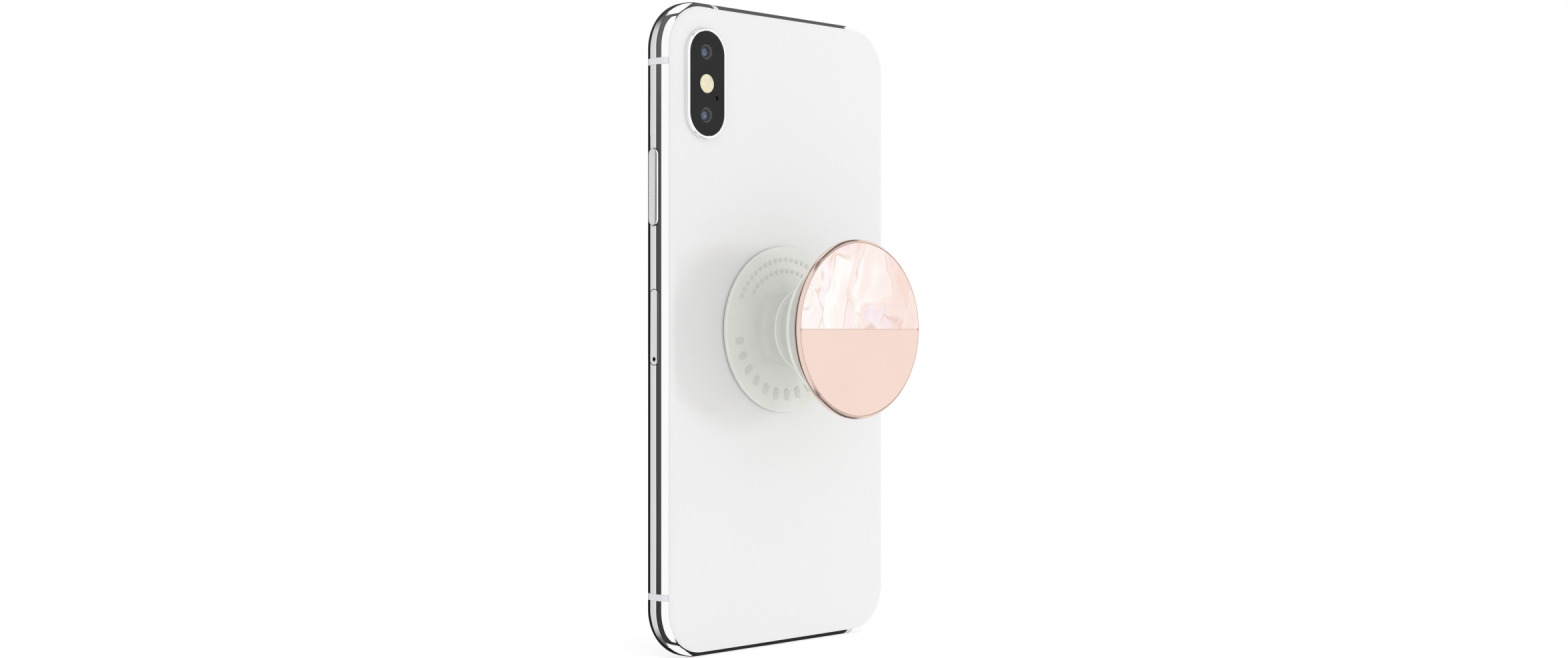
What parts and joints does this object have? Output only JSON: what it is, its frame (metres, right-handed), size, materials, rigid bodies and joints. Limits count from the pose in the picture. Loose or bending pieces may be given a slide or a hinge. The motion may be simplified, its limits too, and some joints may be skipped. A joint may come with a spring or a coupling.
{
  "type": "smartphone",
  "caption": "Slim glass-backed smartphone with a polished steel band, sprung keys, pull-out card tray and a collapsible round finger grip on its back.",
  "frame": {"origin": "centre of the screen's outer face", "axes": "+Z along the length to the top edge, +Y out of the back towards the grip, +X across the width to the side-button edge"},
  "size_m": [0.0716, 0.0321, 0.1436],
  "materials": {
    "polished_steel": "mirror-polished stainless steel",
    "antenna_plastic": "pale gloss polymer, flush",
    "front_glass": "gloss black screen glass",
    "back_glass": "gloss near-white glass over a pearly white layer",
    "seal_black": "matte black gasket",
    "display_black": "gloss black panel",
    "stamped_steel": "satin stamped sheet",
    "flex_copper": "amber flexible circuit",
    "camera_ring": "polished ring",
    "camera_glass": "gloss charcoal glass",
    "camera_module": "matte black moulding",
    "lens_blue": "coated blue optic",
    "flash_lens": "patterned pale yellow lens",
    "circuit_green": "solder-mask green",
    "card_white": "white card",
    "battery_black": "wrapped cell",
    "adhesive": "soft pale adhesive",
    "weight_alloy": "sintered heavy alloy",
    "gold_contact": "gold-plated contacts",
    "copper_wire": "enamelled copper strands",
    "grip_plastic": "satin pale grey-green plastic",
    "grip_soft": "satin soft polymer, pale grey-green",
    "rose_metal": "polished rose-gold ring",
    "grip_face": "upper half mother-of-pearl swirl, lower half satin peach"
  },
  "bodies": {
    "phone": {"steel_band": "polished_steel", "antenna_inserts": "antenna_plastic", "front_glass": "front_glass", "front_seal": "seal_black", "display_panel": "display_black", "display_frame": "stamped_steel", "display_flex": "flex_copper", "back_glass": "back_glass", "back_seal": "seal_black", "back_plate": "stamped_steel", "camera_ring": "camera_ring", "camera_glass": "camera_glass", "camera_bracket": "stamped_steel", "upper_camera_housing": "camera_module", "lower_camera_housing": "camera_module", "flash_lens": "flash_lens", "flash_board": "circuit_green", "rear_mic": "stamped_steel", "side_button_switch": "flex_copper", "volume_switches": "flex_copper", "silent_switch_base": "camera_module", "card_reader": "stamped_steel", "eject_lever": "stamped_steel", "battery_main": "battery_black", "battery_lower": "battery_black", "battery_adhesive": "adhesive", "logic_board": "circuit_green", "board_shield": "stamped_steel", "haptic_case": "stamped_steel", "haptic_cover": "stamped_steel", "haptic_springs": "stamped_steel", "loudspeaker": "camera_module", "bottom_meshes": "seal_black", "bottom_mic": "gold_contact", "charge_socket": "stamped_steel", "charge_contacts": "gold_contact", "bottom_screws": "polished_steel", "board_screws": "stamped_steel", "earpiece": "camera_module", "earpiece_mesh": "seal_black", "front_camera": "camera_module", "front_sensors": "camera_module", "charging_coil": "copper_wire", "coil_shield": "stamped_steel", "grip_adhesive": "adhesive", "grip_base": "grip_plastic", "grip_accordion": "grip_soft"},
    "side_button": {"side_button": "polished_steel"},
    "volume_up": {"volume_up_button": "polished_steel"},
    "volume_down": {"volume_down_button": "polished_steel"},
    "silent_switch": {"silent_switch": "polished_steel"},
    "card_tray": {"card_tray": "polished_steel", "tray_seal": "seal_black", "nano_card": "card_white"},
    "haptic_mass": {"haptic_mass": "weight_alloy"},
    "upper_lens": {"upper_lens": "lens_blue"},
    "lower_lens": {"lower_lens": "lens_blue"},
    "grip_carrier": {"grip_carrier": "grip_plastic"},
    "grip_top": {"grip_top_shell": "rose_metal", "grip_inlays": "grip_face"}
  },
  "joints": [
    {"name": "side_button_press", "type": "slide", "parent": "phone", "child": "side_button", "axis": [-1, 0, 0], "range_m": [0, 0.0003], "stiffness_N_per_m": 1500},
    {"name": "volume_up_press", "type": "slide", "parent": "phone", "child": "volume_up", "axis": [1, 0, 0], "range_m": [0, 0.0003], "stiffness_N_per_m": 1500},
    {"name": "volume_down_press", "type": "slide", "parent": "phone", "child": "volume_down", "axis": [1, 0, 0], "range_m": [0, 0.0003], "stiffness_N_per_m": 1500},
    {"name": "silent_switch_slide", "type": "slide", "parent": "phone", "child": "silent_switch", "axis": [0, 1, 0], "range_m": [0, 0.0011]},
    {"name": "card_tray_slide", "type": "slide", "parent": "phone", "child": "card_tray", "axis": [1, 0, 0], "range_m": [0, 0.024]},
    {"name": "haptic_mass_slide", "type": "slide", "parent": "phone", "child": "haptic_mass", "axis": [1, 0, 0], "range_m": [-0.0006, 0.0006], "stiffness_N_per_m": 3000},
    {"name": "upper_lens_focus", "type": "slide", "parent": "phone", "child": "upper_lens", "axis": [0, 1, 0], "range_m": [0, 0.00025], "stiffness_N_per_m": 200},
    {"name": "lower_lens_focus", "type": "slide", "parent": "phone", "child": "lower_lens", "axis": [0, 1, 0], "range_m": [0, 0.00025], "stiffness_N_per_m": 200},
    {"name": "grip_collapse", "type": "slide", "parent": "phone", "child": "grip_carrier", "axis": [0, -1, 0], "range_m": [0, 0.017], "deforming": ["grip_accordion"]},
    {"name": "grip_top_twist", "type": "hinge", "parent": "grip_carrier", "child": "grip_top", "pos_m": [0, 0.0303, 0], "axis": [0, 1, 0], "range_deg": [0, 90]}
  ]
}
